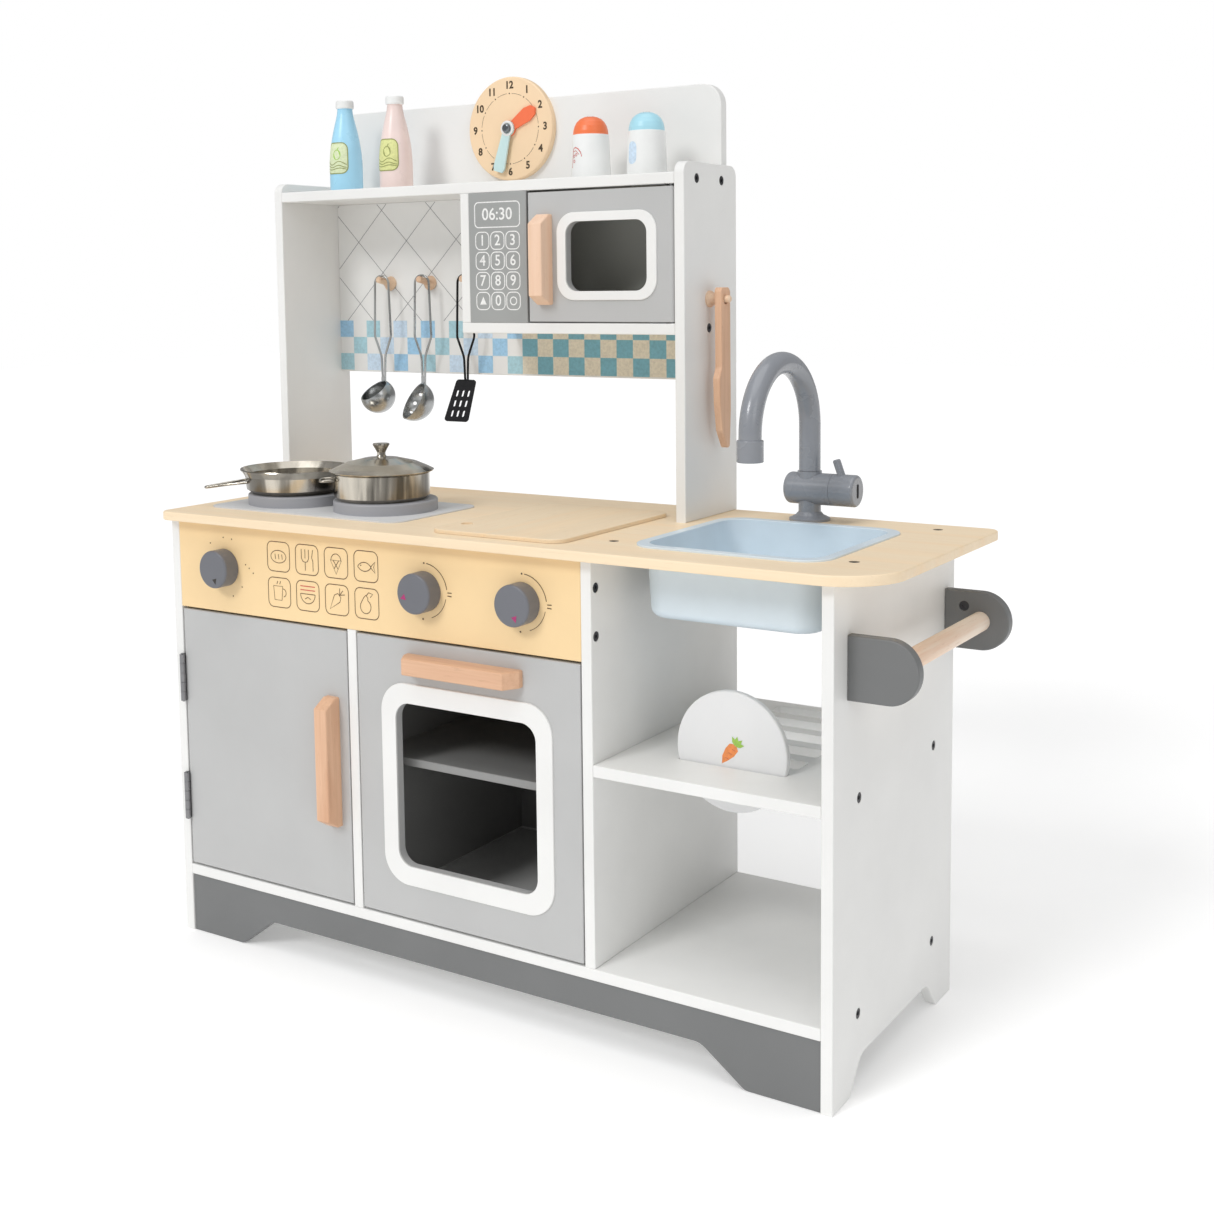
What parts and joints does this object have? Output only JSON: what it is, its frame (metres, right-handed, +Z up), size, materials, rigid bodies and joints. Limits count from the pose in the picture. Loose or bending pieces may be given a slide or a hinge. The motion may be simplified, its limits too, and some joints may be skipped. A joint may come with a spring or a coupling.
{
  "type": "toy kitchen",
  "caption": "Freestanding children's toy kitchen: cupboard, oven and open bay below a worktop with hob and sink, and an upper unit with microwave, clock and hanging utensils.",
  "frame": {"origin": "on the floor, under the middle of the whole object's box", "axes": "+X to the right seen from the front, +Y from the front to the back, +Z up"},
  "size_m": [0.901, 0.326, 0.9985],
  "materials": {
    "white_board": "satin white lacquer on board",
    "grey_board": "satin light grey lacquer on board",
    "dark_board": "satin dark grey lacquer on board",
    "cream_board": "satin cream lacquer with printed line icons",
    "worktop_board": "satin lacquered pale wood",
    "beech": "oiled beech",
    "print_board": "printed board: lattice and blue checks",
    "keypad_board": "satin mid grey board with printed keys",
    "clock_wood": "satin peach lacquer with printed numerals",
    "red_paint": "satin orange-red lacquer",
    "teal_paint": "satin pale teal lacquer",
    "blue_paint": "satin light blue lacquer",
    "pink_paint": "satin pale pink lacquer",
    "white_paint": "satin white lacquer",
    "grey_plastic": "moulded mid grey plastic",
    "hob_grey": "matt grey",
    "blue_plastic": "semi-gloss light blue moulding",
    "steel": "polished pressed steel",
    "black_metal": "black coated steel",
    "hinge_steel": "dull plated steel",
    "screw_steel": "dark zinc"
  },
  "bodies": {
    "cabinet": {"left_side_panel": "white_board", "right_side_panel": "white_board", "middle_panel": "white_board", "divider_panel": "white_board", "bottom_board": "white_board", "lower_back_panel": "white_board", "oven_shelf": "white_board", "bay_shelf": "white_board", "upper_left_panel": "white_board", "upper_right_panel": "white_board", "top_shelf": "white_board", "microwave_shelf": "white_board", "upper_divider": "white_board", "backboard": "white_board", "kick_board": "dark_board", "towel_brackets": "dark_board", "burner_discs": "dark_board", "control_panel": "cream_board", "worktop": "worktop_board", "towel_bar": "beech", "wall_pegs": "beech", "backsplash": "print_board", "keypad_panel": "keypad_board", "clock_face": "clock_wood", "faucet_body": "grey_plastic", "hob_plate": "hob_grey", "sink_basin": "blue_plastic", "hinge_frame_leaves": "hinge_steel", "pivot_pins": "hinge_steel", "spindles": "hinge_steel", "assembly_screws": "screw_steel"},
    "cupboard_door": {"cupboard_door": "grey_board", "cupboard_handle": "beech", "hinge_door_leaves": "hinge_steel"},
    "oven_door": {"oven_door": "grey_board", "oven_window_frame": "white_board", "oven_handle": "beech"},
    "microwave_door": {"microwave_door": "grey_board", "microwave_window_frame": "white_board", "microwave_handle": "beech"},
    "knob_left": {"knob_left": "dark_board"},
    "knob_middle": {"knob_middle": "dark_board"},
    "knob_right": {"knob_right": "dark_board"},
    "clock_hour_hand": {"clock_hour_hand": "red_paint"},
    "clock_minute_hand": {"clock_minute_hand": "teal_paint"},
    "faucet_spout": {"faucet_spout": "grey_plastic"},
    "faucet_handle": {"faucet_handle": "grey_plastic"},
    "frying_pan": {"frying_pan": "steel"},
    "cooking_pot": {"cooking_pot": "steel"},
    "pot_lid": {"pot_lid": "steel"},
    "cutting_board": {"cutting_board": "worktop_board"},
    "plate": {"plate": "white_board"},
    "ladle": {"ladle": "steel"},
    "skimmer": {"skimmer": "steel"},
    "turner": {"turner": "black_metal"},
    "knife": {"knife": "beech"},
    "bottle_blue": {"bottle_blue": "blue_paint"},
    "bottle_pink": {"bottle_pink": "pink_paint"},
    "shaker_red": {"shaker_red": "red_paint"},
    "shaker_blue": {"shaker_blue": "white_paint"}
  },
  "joints": [
    {"name": "cupboard_door_hinge", "type": "hinge", "parent": "cabinet", "child": "cupboard_door", "pos_m": [-0.4343, -0.1445, 0.235], "axis": [0, 0, -1], "range_deg": [0, 110]},
    {"name": "oven_door_hinge", "type": "hinge", "parent": "cabinet", "child": "oven_door", "pos_m": [-0.0275, -0.1365, 0.098], "axis": [1, 0, 0], "range_deg": [0, 90]},
    {"name": "microwave_door_hinge", "type": "hinge", "parent": "cabinet", "child": "microwave_door", "pos_m": [0.111, 0.0505, 0.785], "axis": [0, 0, 1], "range_deg": [0, 90]},
    {"name": "knob_left_turn", "type": "hinge", "parent": "cabinet", "child": "knob_left", "pos_m": [-0.3635, -0.151, 0.4405], "axis": [0, 1, 0], "continuous": true},
    {"name": "knob_middle_turn", "type": "hinge", "parent": "cabinet", "child": "knob_middle", "pos_m": [-0.076, -0.151, 0.4405], "axis": [0, 1, 0], "continuous": true},
    {"name": "knob_right_turn", "type": "hinge", "parent": "cabinet", "child": "knob_right", "pos_m": [0.0475, -0.151, 0.4405], "axis": [0, 1, 0], "continuous": true},
    {"name": "clock_hour_turn", "type": "hinge", "parent": "cabinet", "child": "clock_hour_hand", "pos_m": [-0.1615, 0.14, 0.938], "axis": [0, 1, 0], "continuous": true},
    {"name": "clock_minute_turn", "type": "hinge", "parent": "cabinet", "child": "clock_minute_hand", "pos_m": [-0.1615, 0.137, 0.938], "axis": [0, 1, 0], "continuous": true},
    {"name": "spout_swivel", "type": "hinge", "parent": "cabinet", "child": "faucet_spout", "pos_m": [0.2335, 0.129, 0.56], "axis": [0, 0, 1], "range_deg": [-30, 60]},
    {"name": "faucet_lever_turn", "type": "hinge", "parent": "cabinet", "child": "faucet_handle", "pos_m": [0.2725, 0.129, 0.535], "axis": [1, 0, 0], "range_deg": [-45, 45]},
    {"name": "frying_pan_lift", "type": "slide", "parent": "cabinet", "child": "frying_pan", "axis": [0, 0, 1], "range_m": [0, 0.06]},
    {"name": "cooking_pot_lift", "type": "slide", "parent": "cabinet", "child": "cooking_pot", "axis": [0, 0, 1], "range_m": [0, 0.08]},
    {"name": "pot_lid_lift", "type": "slide", "parent": "cooking_pot", "child": "pot_lid", "axis": [0, 0, 1], "range_m": [0, 0.05]},
    {"name": "cutting_board_lift", "type": "slide", "parent": "cabinet", "child": "cutting_board", "axis": [0, 0, 1], "range_m": [0, 0.05]},
    {"name": "plate_lift", "type": "slide", "parent": "cabinet", "child": "plate", "axis": [0, 0, 1], "range_m": [0, 0.06]},
    {"name": "bottle_blue_lift", "type": "slide", "parent": "cabinet", "child": "bottle_blue", "axis": [0, 0, 1], "range_m": [0, 0.05]},
    {"name": "bottle_pink_lift", "type": "slide", "parent": "cabinet", "child": "bottle_pink", "axis": [0, 0, 1], "range_m": [0, 0.05]},
    {"name": "shaker_red_lift", "type": "slide", "parent": "cabinet", "child": "shaker_red", "axis": [0, 0, 1], "range_m": [0, 0.05]},
    {"name": "shaker_blue_lift", "type": "slide", "parent": "cabinet", "child": "shaker_blue", "axis": [0, 0, 1], "range_m": [0, 0.05]},
    {"name": "knife_unhook", "type": "slide", "parent": "cabinet", "child": "knife", "axis": [1, 0, 0], "range_m": [0, 0.04]},
    {"name": "ladle_unhook", "type": "slide", "parent": "cabinet", "child": "ladle", "axis": [0, -0.9781, 0.2079], "range_m": [0, 0.05]},
    {"name": "skimmer_unhook", "type": "slide", "parent": "cabinet", "child": "skimmer", "axis": [0, -0.9781, 0.2079], "range_m": [0, 0.05]},
    {"name": "turner_unhook", "type": "slide", "parent": "cabinet", "child": "turner", "axis": [0, -0.9781, 0.2079], "range_m": [0, 0.05]}
  ]
}
